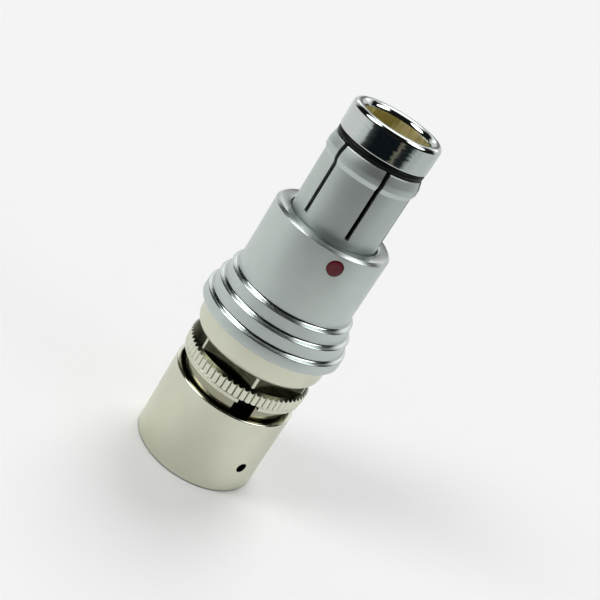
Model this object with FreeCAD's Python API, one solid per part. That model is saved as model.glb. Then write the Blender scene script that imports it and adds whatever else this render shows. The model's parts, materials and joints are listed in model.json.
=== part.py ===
import FreeCAD, Part
import math
import os

# Push-pull circular connector plug.
# The plug's axis is +Z, from the cable end at z = 0 to the mating end.
# The index mark and the key face -Y. All sizes are in millimetres.

# Lengths along the axis, from the cable end to the mating end
rear_sleeve_length = 8.7
clamp_gap = 1.48
clamp_lip_height = 0.5
knurl_length = 1.42
neck_length = 1.13
collar_length = 2.82
sleeve_lap = 0.05
sleeve_length = 11.7
latch_reach = 7.75
seal_gap = 0.69
nose_ring_length = 2.66

# Outside diameters
rear_sleeve_diameter = 12.8
clamp_tail_diameter = 11.26
clamp_lip_diameter = 12.76
knurl_diameter = 12.9
neck_across_flats = 10.7
neck_corner_diameter = 12.18
collar_diameter = 13.4
sleeve_diameter = 11.9
latch_diameter = 8.86
latch_band_diameter = 9.28
nose_diameter = 8.96

# Grip steps of the release sleeve, from the mating end to the cable end
skirt_diameter = 15.0
grip_step_count = 3
grip_pitch = 1.5
grip_rear_land_length = 1.16
grip_edge_radius = 0.12
grip_shelf_width = 0.02
sleeve_edge_radius = 0.3
small_edge_radius = 0.15

# Release mechanism
release_travel = 1.2
spring_length = 3.6
spring_wire_height = 0.42
spring_wire_width = 0.56
spring_turns = 3.4
spring_side_gap = 0.3
flange_thickness = 1.7
stop_ring_thickness = 0.5
stop_ring_depth = 0.14
stop_ring_width = 0.6
stop_ring_gap_angle = 50.0
hub_length = 0.95
hub_diameter = 10.2
sleeve_mouth_depth = 0.8
sleeve_mouth_gap = 0.16
sleeve_shell_wall = 0.65

# Latch sleeve
guide_diameter = 7.84
finger_count = 6
finger_wall = 0.41
slot_width = 0.42
slot_mouth_width = 0.5
slot_start = 0.73
tip_rib_length = 0.8
tip_rib_height = 0.05
band_slope_front = 0.68
band_crest_length = 0.57
band_slope_rear = 0.48
tip_chamfer = 0.15
finger_relief = 0.2

# Nose, seals and inner tube
nose_bore = 6.7
lip_outer_share = 0.4
lip_inner_share = 0.56
seal_section = 0.66
seal_groove_diameter = 7.5
tail_depth = 4.0
body_seal_section = 0.6
body_seal_height = 0.7

# Contact insert
insert_depth = 10.2
insert_length = 6.6
insert_flange_length = 2.0
insert_flange_step = 0.15
key_width = 0.9
key_height = 3.0
key_depth = 0.55
clamp_shell_wall = 0.67
clamp_shell_split = 0.1

# Contacts
contact_count = 5
contact_circle_diameter = 3.6
pin_diameter = 0.9
pin_length = 5.5
pin_tip_radius = 0.38
shank_diameter = 1.3
shank_cover = 0.8
cup_diameter = 1.4
cup_bore = 0.96
cup_length = 3.4
cup_depth = 2.4
cup_window_length = 1.2

# Cable clamp
cable_diameter = 6.0
cable_clearance = 0.1
cable_outlet_diameter = 6.5
rear_wall = 4.0
tail_end_gap = 0.3
boss_height = 0.7
boss_wall = 1.15
thrust_ring_thickness = 0.6
gland_diameter = 9.0
gland_washer_thickness = 0.5
gland_chamber_gap = 0.1
thread_diameter = 10.0
thread_length = 1.2
clamp_slot_count = 3
clamp_slot_width = 2.1
clamp_slot_turn = 269.8
rear_mouth_diameter = 11.9
rear_mouth_depth = 0.8
rear_mouth_taper = 0.3
spanner_hole_diameter = 1.1
spanner_hole_height = 3.2
spanner_hole_depth = 1.8
spanner_hole_turn = 300.0

# Knurling, neck and index mark
knurl_count = 64
knurl_depth = 0.2
knurl_chamfer_width = 0.27
knurl_chamfer_length = 0.35
clamp_lip_edge_radius = 0.1
collar_edge_radius = 0.9
neck_turn = -4.5
dot_diameter = 1.6
dot_depth = 0.35
dot_below_edge = 1.5

# Fits
running_clearance = 0.05
screw_clearance = 0.02
seat_clearance = 0.03
end_clearance = 0.1
front_angle = 270.0

# Heights that follow from the lengths
clamp_lip_bottom = rear_sleeve_length + clamp_gap
knurl_bottom = clamp_lip_bottom + clamp_lip_height
neck_bottom = knurl_bottom + knurl_length
collar_bottom = neck_bottom + neck_length
collar_top = collar_bottom + collar_length
spring_seat = collar_top + hub_length
sleeve_bottom = collar_top - sleeve_lap
sleeve_top = sleeve_bottom + sleeve_length
finger_top = sleeve_top + latch_reach
ring_bottom = finger_top + seal_gap
nose_top = ring_bottom + nose_ring_length
flange_bottom = spring_seat + spring_length
flange_top = flange_bottom + flange_thickness
stop_ring_top = flange_top + stop_ring_thickness
latch_bottom = stop_ring_top + release_travel + end_clearance
latch_thread_top = sleeve_top - sleeve_mouth_depth
slot_bottom = sleeve_top + slot_start
tip_rib_bottom = finger_top - tip_rib_length
skirt_top = collar_top + release_travel + end_clearance
shell_bottom = spring_seat - tail_depth
insert_top = nose_top - insert_depth
insert_bottom = insert_top - insert_length
insert_step = insert_bottom + insert_flange_length
thread_bottom = neck_bottom - thread_length
gland_top = thread_bottom - gland_washer_thickness
boss_top = rear_wall + boss_height
gland_bottom = boss_top + thrust_ring_thickness
clamp_tail_bottom = rear_wall + tail_end_gap

# Radii that follow from the diameters and fits
guide_radius = guide_diameter / 2
latch_radius = latch_diameter / 2
latch_bore_radius = guide_radius + running_clearance
finger_inner_radius = latch_radius - finger_wall
sleeve_mouth_radius = latch_radius + sleeve_mouth_gap
latch_thread_radius = sleeve_mouth_radius - screw_clearance
nose_radius = nose_diameter / 2
nose_bore_radius = nose_bore / 2
insert_bore_radius = nose_bore_radius + insert_flange_step
sleeve_radius = sleeve_diameter / 2
skirt_radius = skirt_diameter / 2
grip_step = (skirt_radius - sleeve_radius) / grip_step_count
collar_radius = collar_diameter / 2
skirt_bore_radius = collar_radius + running_clearance + seat_clearance
spring_radius = guide_radius + spring_side_gap + spring_wire_width / 2
clamp_tail_radius = clamp_tail_diameter / 2
gland_chamber_radius = gland_diameter / 2 + gland_chamber_gap
cable_bore_radius = cable_diameter / 2 + cable_clearance


def section_point(radius, height):
    return FreeCAD.Vector(radius, 0, height)


def rounded_wire(corners):
    """Closed outline of (radius, height, rounding) corners, each rounding a tangent arc."""
    edges = []
    joints = []
    for index, (radius, height, rounding) in enumerate(corners):
        here = section_point(radius, height)
        before = section_point(*corners[index - 1][:2])
        after = section_point(*corners[(index + 1) % len(corners)][:2])
        if rounding == 0:
            joints.append((here, here))
            continue
        arrive = (here - before).normalize()
        leave = (after - here).normalize()
        bend = arrive.getAngle(leave)
        reach = rounding * math.tan(bend / 2)
        start = here - arrive * reach
        end = here + leave * reach
        inward = (leave - arrive).normalize()
        middle = here + inward * (rounding / math.cos(bend / 2) - rounding)
        edges.append(Part.Arc(start, middle, end).toShape())
        joints.append((start, end))
    for index, (start, end) in enumerate(joints):
        previous_end = joints[index - 1][1]
        if previous_end.distanceToPoint(start) > 1e-6:
            edges.append(Part.LineSegment(previous_end, start).toShape())
    return Part.Wire(Part.__sortEdges__(edges))


def turned(*corners):
    """Solid turned about the axis from corners of (radius, height) or (radius, height, rounding)."""
    outline = [tuple(corner) + (0,) * (3 - len(corner)) for corner in corners]
    face = Part.Face(rounded_wire(outline))
    return face.revolve(FreeCAD.Vector(0, 0, 0), FreeCAD.Vector(0, 0, 1), 360)


def tube(inner_radius, outer_radius, bottom, top):
    return turned((inner_radius, bottom), (outer_radius, bottom), (outer_radius, top), (inner_radius, top))


def turn(shape, angle):
    shape.rotate(FreeCAD.Vector(0, 0, 0), FreeCAD.Vector(0, 0, 1), angle)
    return shape


def radial_pin(radius, start, end, height, angle):
    """Round pin lying along the radius at one angle, from one distance off the axis to another."""
    base = FreeCAD.Vector(start, 0, height)
    return turn(Part.makeCylinder(radius, end - start, base, FreeCAD.Vector(1, 0, 0)), angle)


def prism(points, bottom, top):
    """Upright prism on a closed outline of (x, y) points."""
    corners = [FreeCAD.Vector(x, y, bottom) for x, y in points]
    face = Part.Face(Part.makePolygon(corners + corners[:1]))
    return face.extrude(FreeCAD.Vector(0, 0, top - bottom))


def front_shell():
    """Nose ring with a rounded lip, seal groove, finger support land and inner tube, in one piece."""
    wall = nose_radius - nose_bore_radius
    stop_groove_radius = guide_radius - stop_ring_depth
    relief_radius = guide_radius - finger_relief
    return turned(
        (insert_bore_radius, shell_bottom),
        (guide_radius, shell_bottom),
        (guide_radius, flange_top),
        (stop_groove_radius, flange_top),
        (stop_groove_radius, stop_ring_top),
        (guide_radius, stop_ring_top),
        (guide_radius, slot_bottom),
        (relief_radius, slot_bottom + finger_relief),
        (relief_radius, tip_rib_bottom - finger_relief),
        (guide_radius, tip_rib_bottom),
        (guide_radius, finger_top),
        (seal_groove_diameter / 2, finger_top),
        (seal_groove_diameter / 2, ring_bottom),
        (nose_radius, ring_bottom, small_edge_radius / 2),
        (nose_radius, nose_top, wall * lip_outer_share),
        (nose_bore_radius, nose_top, wall * lip_inner_share),
        (nose_bore_radius, insert_step),
        (insert_bore_radius, insert_step),
    )


def seal_ring(inner_radius, section, middle_height):
    """Sealing ring of round section that sits on a given radius."""
    section_radius = section / 2
    ring_radius = inner_radius + section_radius
    return Part.makeTorus(ring_radius, section_radius, FreeCAD.Vector(0, 0, middle_height))


def finger_slot():
    """Cutter for one slot: parallel along the finger, opening out over the latch band."""
    reach = latch_band_diameter / 2 + end_clearance
    flare_bottom = finger_top - band_slope_front - band_crest_length
    half_width = slot_width / 2
    half_mouth = slot_mouth_width / 2
    above = finger_top + end_clearance
    outline = [
        (half_width, slot_bottom),
        (half_width, flare_bottom),
        (half_mouth, finger_top),
        (half_mouth, above),
        (-half_mouth, above),
        (-half_mouth, finger_top),
        (-half_width, flare_bottom),
        (-half_width, slot_bottom),
    ]
    corners = [FreeCAD.Vector(0, across, height) for across, height in outline]
    face = Part.Face(Part.makePolygon(corners + corners[:1]))
    return face.extrude(FreeCAD.Vector(reach, 0, 0))


def latch_sleeve():
    """Sprung latch: a tube slotted into fingers that carry the latch band and an inner tip rib."""
    band_radius = latch_band_diameter / 2
    tip_rib_radius = finger_inner_radius - tip_rib_height
    crest_top = finger_top - tip_chamfer - band_slope_front
    crest_bottom = crest_top - band_crest_length
    sleeve = turned(
        (latch_bore_radius, latch_bottom),
        (latch_thread_radius, latch_bottom),
        (latch_thread_radius, latch_thread_top),
        (latch_radius, latch_thread_top + small_edge_radius),
        (latch_radius, crest_bottom - band_slope_rear, small_edge_radius),
        (band_radius, crest_bottom, small_edge_radius),
        (band_radius, crest_top, small_edge_radius),
        (latch_radius, finger_top - tip_chamfer),
        (latch_radius - tip_chamfer, finger_top),
        (tip_rib_radius, finger_top),
        (tip_rib_radius, tip_rib_bottom),
        (finger_inner_radius, tip_rib_bottom - tip_rib_height),
        (finger_inner_radius, slot_bottom),
        (latch_bore_radius, slot_bottom - tip_rib_height),
    )
    for index in range(finger_count):
        sleeve = sleeve.cut(turn(finger_slot(), front_angle + index * 360 / finger_count))
    return sleeve


def grip_outline():
    """Outside corners of the release sleeve's steps, from its front edge to its rear edge."""
    corners = [(sleeve_radius, sleeve_top, sleeve_edge_radius)]
    hollow_radius = grip_step - grip_edge_radius - grip_shelf_width
    for step in range(grip_step_count):
        steps_below = grip_step_count - 1 - step
        shelf_height = sleeve_bottom + grip_rear_land_length + steps_below * grip_pitch
        radius = sleeve_radius + step * grip_step
        corners.append((radius, shelf_height, hollow_radius))
        corners.append((radius + grip_step, shelf_height, grip_edge_radius))
    corners.append((skirt_radius, sleeve_bottom, small_edge_radius))
    return corners


def release_sleeve():
    """Outer sleeve that is pulled back to unlock: mouth, inner flange, spring room and skirt."""
    flange_radius = guide_radius + running_clearance + seat_clearance
    spring_room_radius = sleeve_radius - sleeve_shell_wall
    sleeve = turned(
        *reversed(grip_outline()),
        (sleeve_mouth_radius, sleeve_top, small_edge_radius),
        (sleeve_mouth_radius, flange_top),
        (flange_radius, flange_top),
        (flange_radius, flange_bottom),
        (spring_room_radius, flange_bottom),
        (spring_room_radius, skirt_top),
        (skirt_bore_radius, skirt_top),
        (skirt_bore_radius, sleeve_bottom),
    )
    pocket_floor = sleeve_radius - dot_depth
    pocket = radial_pin(dot_diameter / 2, pocket_floor, skirt_radius, dot_height(), front_angle)
    return sleeve.cut(pocket)


def dot_height():
    return sleeve_top - dot_below_edge


def index_dot():
    """Enamel fill of the pocket, flush with the sleeve's surface."""
    floor_radius = sleeve_radius - dot_depth
    fill_radius = dot_diameter / 2 - screw_clearance
    fill = radial_pin(fill_radius, floor_radius, skirt_radius, dot_height(), front_angle)
    return fill.common(Part.makeCylinder(sleeve_radius, nose_top))


def stop_ring():
    """Open snap ring in the front shell's groove, in front of the release sleeve's flange."""
    inner_radius = guide_radius - stop_ring_depth + screw_clearance
    outer_radius = inner_radius + stop_ring_width
    ring = tube(inner_radius, outer_radius, flange_top, stop_ring_top - screw_clearance)
    reach = outer_radius + end_clearance
    half_gap = math.radians(stop_ring_gap_angle / 2)
    spread = reach * math.tan(half_gap)
    gap = prism([(0, 0), (reach, spread), (reach, -spread)], flange_top, stop_ring_top)
    return ring.cut(turn(gap, front_angle + 180))


def return_spring():
    """Flat-wire spring between the rear body's hub and the release sleeve's flange."""
    rise = spring_length - spring_wire_height
    path = Part.makeHelix(rise / spring_turns, rise, spring_radius)
    inside = spring_radius - spring_wire_width / 2
    outside = spring_radius + spring_wire_width / 2
    section = Part.makePolygon([
        section_point(inside, -spring_wire_height / 2),
        section_point(outside, -spring_wire_height / 2),
        section_point(outside, spring_wire_height / 2),
        section_point(inside, spring_wire_height / 2),
        section_point(inside, -spring_wire_height / 2),
    ])
    coil = Part.Wire(path).makePipeShell([section], True, True)
    coil.translate(section_point(0, spring_seat + spring_wire_height / 2))
    return coil


def hexagon(across_flats, bottom, top, angle):
    corner_radius = across_flats / 2 / math.cos(math.pi / 6)
    points = []
    for index in range(6):
        direction = math.radians(front_angle + angle + index * 60)
        points.append((corner_radius * math.cos(direction), corner_radius * math.sin(direction)))
    return prism(points, bottom, top)


def rear_body():
    """Collar with its hub, hexagonal neck for a spanner and threaded tail, in one piece."""
    seal_groove_radius = guide_radius + body_seal_section + seat_clearance
    seal_bottom = (shell_bottom + spring_seat - body_seal_height) / 2
    seal_top = seal_bottom + body_seal_height
    shell_seat_radius = guide_radius + screw_clearance
    head = turned(
        (cable_bore_radius, collar_bottom),
        (collar_radius, collar_bottom, collar_edge_radius),
        (collar_radius, collar_top, small_edge_radius),
        (hub_diameter / 2, collar_top),
        (hub_diameter / 2, spring_seat),
        (cable_bore_radius, spring_seat),
    )
    neck = hexagon(neck_across_flats, neck_bottom, collar_bottom + collar_edge_radius, neck_turn)
    neck = neck.common(Part.makeCylinder(neck_corner_diameter / 2, nose_top))
    tail = tube(cable_bore_radius, thread_diameter / 2, thread_bottom, neck_bottom)
    room = turned(
        (0, thread_bottom),
        (cable_bore_radius, thread_bottom),
        (cable_bore_radius, shell_bottom),
        (shell_seat_radius, shell_bottom),
        (shell_seat_radius, seal_bottom),
        (seal_groove_radius, seal_bottom),
        (seal_groove_radius, seal_top),
        (shell_seat_radius, seal_top),
        (shell_seat_radius, spring_seat),
        (0, spring_seat),
    )
    return head.fuse([neck, tail]).removeSplitter().cut(room)


def knurled_ring():
    """Ring with straight rounded teeth, chamfered at the end that faces the neck."""
    crest_radius = knurl_diameter / 2
    root_radius = crest_radius - knurl_depth
    pitch = 2 * math.pi / knurl_count
    edges = []
    for index in range(knurl_count):
        angle = index * pitch
        points = []
        for radius, part in ((root_radius, 0), (crest_radius, 0.5), (root_radius, 1)):
            direction = angle + part * pitch
            across = radius * math.cos(direction)
            along = radius * math.sin(direction)
            points.append(FreeCAD.Vector(across, along, knurl_bottom))
        edges.append(Part.Arc(*points).toShape())
    teeth = Part.Face(Part.Wire(edges)).extrude(FreeCAD.Vector(0, 0, knurl_length))
    end_radius = crest_radius - knurl_chamfer_width
    blank = turned(
        (0, knurl_bottom),
        (crest_radius, knurl_bottom),
        (crest_radius, neck_bottom - knurl_chamfer_length),
        (end_radius, neck_bottom),
        (0, neck_bottom),
    )
    return teeth.common(blank)


def clamp_body():
    """Knurled ring with a lip and a slotted tail that the rear sleeve draws in on the gland."""
    lip_radius = clamp_lip_diameter / 2
    ring = knurled_ring()
    tail = turned(
        (0, clamp_tail_bottom),
        (clamp_tail_radius, clamp_tail_bottom, small_edge_radius),
        (clamp_tail_radius, clamp_lip_bottom),
        (lip_radius, clamp_lip_bottom, clamp_lip_edge_radius),
        (lip_radius, knurl_bottom, clamp_lip_edge_radius),
        (0, knurl_bottom),
    )
    thread_seat_radius = thread_diameter / 2 + screw_clearance
    room = turned(
        (0, clamp_tail_bottom),
        (gland_chamber_radius, clamp_tail_bottom),
        (gland_chamber_radius, thread_bottom),
        (thread_seat_radius, thread_bottom),
        (thread_seat_radius, neck_bottom),
        (0, neck_bottom),
    )
    body = ring.fuse(tail).removeSplitter().cut(room)
    for index in range(clamp_slot_count):
        slot_base = FreeCAD.Vector(0, -clamp_slot_width / 2, clamp_tail_bottom)
        slot_length = knurl_bottom - clamp_tail_bottom
        slot = Part.makeBox(lip_radius + end_clearance, clamp_slot_width, slot_length, slot_base)
        body = body.cut(turn(slot, clamp_slot_turn + index * 360 / clamp_slot_count))
    return body


def rear_sleeve():
    """Smooth back nut: cable outlet, boss on the thrust ring, bore on the clamp tail, open mouth."""
    outer_radius = rear_sleeve_diameter / 2
    outlet_radius = cable_outlet_diameter / 2
    boss_radius = outlet_radius + boss_wall
    seat_radius = clamp_tail_radius + screw_clearance
    mouth_radius = rear_mouth_diameter / 2
    mouth_bottom = rear_sleeve_length - rear_mouth_depth
    sleeve = turned(
        (outlet_radius, 0, small_edge_radius),
        (outer_radius, 0, small_edge_radius),
        (outer_radius, rear_sleeve_length, small_edge_radius),
        (mouth_radius, rear_sleeve_length, small_edge_radius),
        (mouth_radius, mouth_bottom),
        (seat_radius, mouth_bottom - rear_mouth_taper),
        (seat_radius, rear_wall),
        (boss_radius, rear_wall),
        (boss_radius, boss_top),
        (outlet_radius, boss_top),
    )
    hole_start = outer_radius - spanner_hole_depth
    hole = radial_pin(
        spanner_hole_diameter / 2, hole_start, skirt_radius, spanner_hole_height, spanner_hole_turn
    )
    return sleeve.cut(hole)


def contact_angle(index):
    return front_angle + 180 + index * 360 / contact_count


def contact_insert():
    """Moulded insulator with a flange, stepped contact holes and a key rib on its front face."""
    radius = nose_bore_radius - running_clearance
    flange_radius = insert_bore_radius - running_clearance
    shank_top = insert_top - shank_cover
    insert = turned(
        (0, insert_bottom),
        (flange_radius, insert_bottom),
        (flange_radius, insert_step),
        (radius, insert_step),
        (radius, insert_top, small_edge_radius),
        (0, insert_top),
    )
    key_base = FreeCAD.Vector(radius - key_depth, -key_width / 2, insert_top - small_edge_radius)
    key = Part.makeBox(2 * key_depth, key_width, key_height + small_edge_radius, key_base)
    key = turn(key, front_angle).common(Part.makeCylinder(radius, nose_top))
    insert = insert.fuse(key).removeSplitter()
    for index in range(contact_count):
        hole = turned(
            (0, insert_bottom),
            (shank_diameter / 2 + screw_clearance, insert_bottom),
            (shank_diameter / 2 + screw_clearance, shank_top),
            (pin_diameter / 2 + screw_clearance, shank_top),
            (pin_diameter / 2 + screw_clearance, insert_top),
            (0, insert_top),
        )
        hole.translate(FreeCAD.Vector(contact_circle_diameter / 2, 0, 0))
        insert = insert.cut(turn(hole, contact_angle(index)))
    return insert


def contact_pin(index):
    """Turned contact: round-ended pin, shank held by the insert, solder cup with a side window."""
    cup_bottom = insert_bottom - cup_length
    cup_floor = cup_bottom + cup_depth
    shank_top = insert_top - shank_cover
    pin = turned(
        (0, cup_floor),
        (cup_bore / 2, cup_floor),
        (cup_bore / 2, cup_bottom),
        (cup_diameter / 2, cup_bottom),
        (cup_diameter / 2, insert_bottom),
        (shank_diameter / 2, insert_bottom),
        (shank_diameter / 2, shank_top),
        (pin_diameter / 2, shank_top),
        (pin_diameter / 2, insert_top + pin_length, pin_tip_radius),
        (0, insert_top + pin_length),
    )
    window = Part.makeBox(cup_diameter, cup_diameter, cup_window_length)
    window.translate(FreeCAD.Vector(0, -cup_diameter / 2, cup_bottom))
    pin = pin.cut(window)
    pin.translate(FreeCAD.Vector(contact_circle_diameter / 2, 0, 0))
    return turn(pin, contact_angle(index))


def insert_clamp(side):
    """One of two half shells that hold the insert forward and keep it from turning."""
    outer_radius = insert_bore_radius - running_clearance
    shell = tube(outer_radius - clamp_shell_wall, outer_radius, shell_bottom, insert_bottom)
    half = Part.makeBox(2 * outer_radius, 2 * outer_radius, insert_bottom)
    half.translate(FreeCAD.Vector(clamp_shell_split / 2, -outer_radius, 0))
    if side < 0:
        half = turn(half, 180)
    return shell.common(half)


def gland_washer():
    return tube(cable_bore_radius, gland_diameter / 2, gland_top, thread_bottom)


def cable_gland():
    """Rubber sleeve round the cable, with tapered ends."""
    inner_radius = cable_diameter / 2
    outer_radius = gland_diameter / 2
    taper = (outer_radius - inner_radius) / 3
    return turned(
        (inner_radius, gland_bottom),
        (outer_radius - taper, gland_bottom),
        (outer_radius, gland_bottom + taper),
        (outer_radius, gland_top - taper),
        (outer_radius - taper, gland_top),
        (inner_radius, gland_top),
    )


def thrust_ring():
    return tube(cable_bore_radius, gland_diameter / 2, boss_top, gland_bottom)


pieces = {
    "front_shell": front_shell(),
    "nose_seal": seal_ring(seal_groove_diameter / 2, seal_section, (finger_top + ring_bottom) / 2),
    "latch_sleeve": latch_sleeve(),
    "release_sleeve": release_sleeve(),
    "index_dot": index_dot(),
    "stop_ring": stop_ring(),
    "return_spring": return_spring(),
    "rear_body": rear_body(),
    "body_seal": seal_ring(guide_radius, body_seal_section, (shell_bottom + spring_seat) / 2),
    "clamp_body": clamp_body(),
    "rear_sleeve": rear_sleeve(),
    "contact_insert": contact_insert(),
    "insert_clamp_left": insert_clamp(-1),
    "insert_clamp_right": insert_clamp(1),
    "gland_washer": gland_washer(),
    "cable_gland": cable_gland(),
    "thrust_ring": thrust_ring(),
}
for number in range(contact_count):
    pieces["contact_pin_" + str(number + 1)] = contact_pin(number)

os.makedirs("parts", exist_ok=True)
for name, shape in pieces.items():
    shape.exportStep("parts/" + name + ".step")
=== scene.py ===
import bmesh
import bpy
import json
import math
from mathutils import Matrix, Vector

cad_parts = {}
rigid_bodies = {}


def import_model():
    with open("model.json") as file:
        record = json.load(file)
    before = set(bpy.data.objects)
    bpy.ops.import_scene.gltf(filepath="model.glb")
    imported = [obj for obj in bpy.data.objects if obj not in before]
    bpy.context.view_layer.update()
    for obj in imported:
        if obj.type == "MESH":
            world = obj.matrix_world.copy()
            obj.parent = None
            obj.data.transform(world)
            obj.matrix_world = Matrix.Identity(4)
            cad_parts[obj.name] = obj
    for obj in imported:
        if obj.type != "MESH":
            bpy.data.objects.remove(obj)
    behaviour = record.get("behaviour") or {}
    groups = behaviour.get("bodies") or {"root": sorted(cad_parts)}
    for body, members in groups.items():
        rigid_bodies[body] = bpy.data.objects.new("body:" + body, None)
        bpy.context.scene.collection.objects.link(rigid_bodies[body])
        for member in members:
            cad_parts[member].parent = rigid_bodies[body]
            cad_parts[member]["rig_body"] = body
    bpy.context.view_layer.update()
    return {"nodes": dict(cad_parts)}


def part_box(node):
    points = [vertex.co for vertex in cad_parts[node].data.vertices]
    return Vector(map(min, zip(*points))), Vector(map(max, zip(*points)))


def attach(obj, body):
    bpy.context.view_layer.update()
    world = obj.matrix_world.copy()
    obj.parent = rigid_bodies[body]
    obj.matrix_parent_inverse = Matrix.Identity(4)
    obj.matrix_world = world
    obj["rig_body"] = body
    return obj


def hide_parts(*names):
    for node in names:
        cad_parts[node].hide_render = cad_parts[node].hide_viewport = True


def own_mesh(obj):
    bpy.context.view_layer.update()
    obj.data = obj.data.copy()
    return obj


# Dressed model of a push-pull circular connector plug.
# The plug stands on its cable end, its axis is +Z, and the index mark faces -Y.
# Sizes are in millimetres and turned to metres where a mesh is made.
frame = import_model()
nodes = frame["nodes"]
mm = 0.001

# Camera, as the picture was taken: beside the index mark, looking down, rolled to the left
view_azimuth = -20.5
view_elevation = 22.86
view_roll = 32.58
view_distance = 99.33
aim_height = 19.6
aim_side = 0.986
focal_length = 63.48
sensor_width = 36.0
near_clip = 1.0
far_clip = 20000.0
camera_azimuth = view_azimuth + 270

# Studio. Turns count from the camera to the right, and all angles are in degrees
paper_colour = "#f3f3f3"
floor_radius = 3000.0
overhead_turn = 176.0
overhead_elevation = 66.0

# Lamps that light the floor and the matt surfaces, as (turn, elevation, light)
left_softbox = (-59.0, 42.0, 0.92)
right_softbox = (80.0, 42.0, 0.15)
overhead_softbox = (overhead_turn, overhead_elevation, 1.0)
softbox_width = 24.0
ambient_brightness = 0.49

# Round patches that the metal mirrors in a dark room: three lamp faces, and two low cards behind
# the plug, as (turn, elevation, width, soft edge, brightness)
left_lamp_face = (-67.0, 46.0, 36.0, 3.0, 7.5)
right_lamp_face = (84.0, 46.0, 36.0, 3.0, 4.0)
left_card = (-150.0, 6.0, 50.0, 8.0, 0.8)
right_card = (150.0, 6.0, 50.0, 8.0, 0.8)
overhead_lamp_face = (overhead_turn, overhead_elevation, 41.0, 8.0, 2.4)
room_brightness = 0.012

# Light wall behind the plug, which the metal mirrors too. The blur of its sides is a cosine
wall_brightness = 0.95
wall_bottom = 19.0
wall_bottom_edge = 3.0
wall_top = 50.0
wall_top_edge = 5.0
wall_half_width = 42.0
wall_side_blur = 0.1

# Dark table edge in front, which only the metal mirrors, as (turn, colour)
table_inner_radius = 84.0
table_outer_radius = 2500.0
table_height = 0.2
table_colours = [(-75, "#f3f3f3"), (-62, "#e4e7e7"), (-50, "#d0d3d3"), (-45, "#4a4e4f"), (-36, "#2a2e30"),
                 (-26, "#141a20"), (21, "#141a20"), (27, "#6c685c"), (31, "#7e7b6e"), (37, "#3b3a38"),
                 (44, "#20272a"), (55, "#30383a"), (60, "#8e9292"), (68, "#c8cccc"), (90, "#dcdfdf"),
                 (150, "#dcdfdf"), (170, "#f3f3f3")]

# Meshing
turning_steps = 192
circle_steps = 96
small_circle_steps = 64
section_steps = 32
arc_step = 9.0
soft_edge_angle = 30.0
flat_angle = 0.3
turned_merge = 0.0001
copied_merge = 0.0005

# How near a face has to be to count as at a place, and the tilts that tell walls from slopes and ends
near = 0.01
very_near = 0.001
angle_slack = 1.0
wall_tilt = 4.9
chamfer_tilt = 20.0
end_tilt = 80.0


def bottom(node):
    """Lowest height of a node in millimetres."""
    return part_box(node)[0][2] / mm


def top(node):
    """Greatest height of a node in millimetres."""
    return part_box(node)[1][2] / mm


# Heights that the frame gives
nose_top = top("front_shell")
shell_bottom = bottom("front_shell")
finger_top = top("latch_sleeve")
latch_bottom = bottom("latch_sleeve")
sleeve_top = top("release_sleeve")
sleeve_bottom = bottom("release_sleeve")
spring_seat = top("rear_body")
thread_bottom = bottom("rear_body")
neck_bottom = top("clamp_body")
tail_bottom = bottom("clamp_body")
mouth_height = top("rear_sleeve")
insert_bottom = bottom("contact_insert")
dot_height = (bottom("index_dot") + top("index_dot")) / 2
dot_radius = (top("index_dot") - bottom("index_dot")) / 2

# Sizes of the pieces: the solids' own, and finer ones at the edges, grip steps, knurl and dot
front_angle = 270.0
edge_radius = 0.15

# Front shell
nose_radius = 4.48
nose_bore_radius = 3.35
nose_outer_rounding = 0.45
nose_inner_rounding = 0.63
nose_rear_rounding = 0.12
seal_gap = 0.69
seal_groove_radius = 3.75
guide_radius = 3.92
insert_bore_radius = 3.5
insert_flange_length = 2.0
finger_relief = 0.2
stop_groove_bottom = 22.3
stop_groove_width = 0.5
stop_groove_depth = 0.14

# Latch sleeve
latch_radius = 4.43
latch_bore_radius = 3.97
latch_thread_radius = 4.57
latch_thread_recess = 0.8
band_radius = 4.64
finger_inner_radius = 4.02
slot_width = 0.42
slot_mouth_width = 0.5
slot_start = 0.73
slot_overcut = 0.2
finger_count = 6
tip_chamfer = 0.05
tip_edge_radius = 0.03
tip_rib_length = 0.8
tip_rib_height = 0.05
band_slope_front = 0.78
band_crest_length = 0.57
band_slope_rear = 0.48

# Release sleeve and index dot
sleeve_radius = 5.95
skirt_radius = 7.5
sleeve_mouth_radius = 4.59
sleeve_flange_radius = 4.0
spring_room_radius = 5.3
skirt_bore_radius = 6.78
skirt_room_top = 17.35
flange_bottom = 20.6
flange_top = 22.3
sleeve_chamfer_width = 0.3
sleeve_chamfer_height = 0.25
skirt_taper = 0.09
sharp_edge_radius = 0.05
front_edge_length = 1.0
grip_step_count = 3
grip_pitch = 1.5
grip_rear_land_length = 1.16
grip_edge_radius = 0.12
grip_shelf_width = 0.08
dot_pocket_depth = 0.35
dot_gap = 0.02
dot_rim = 0.06
dot_rim_chamfer = 0.018
dot_proud = 0.01
dot_rings = (0.66, 0.33)

# Rear body
collar_radius = 6.7
collar_bottom = 13.23
collar_top = 16.05
collar_edge_radius = 0.9
hub_radius = 5.1
neck_across_flats = 10.7
neck_corner_strip = 0.3
neck_turn = -4.5
neck_core_radius = 4.75
neck_core_length = 20.0
cable_bore_radius = 3.1
tail_thread_radius = 5.0
shell_seat_radius = 3.94
body_seal_groove_radius = 4.55
body_seal_groove_bottom = 14.65
body_seal_groove_top = 15.35

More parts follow.
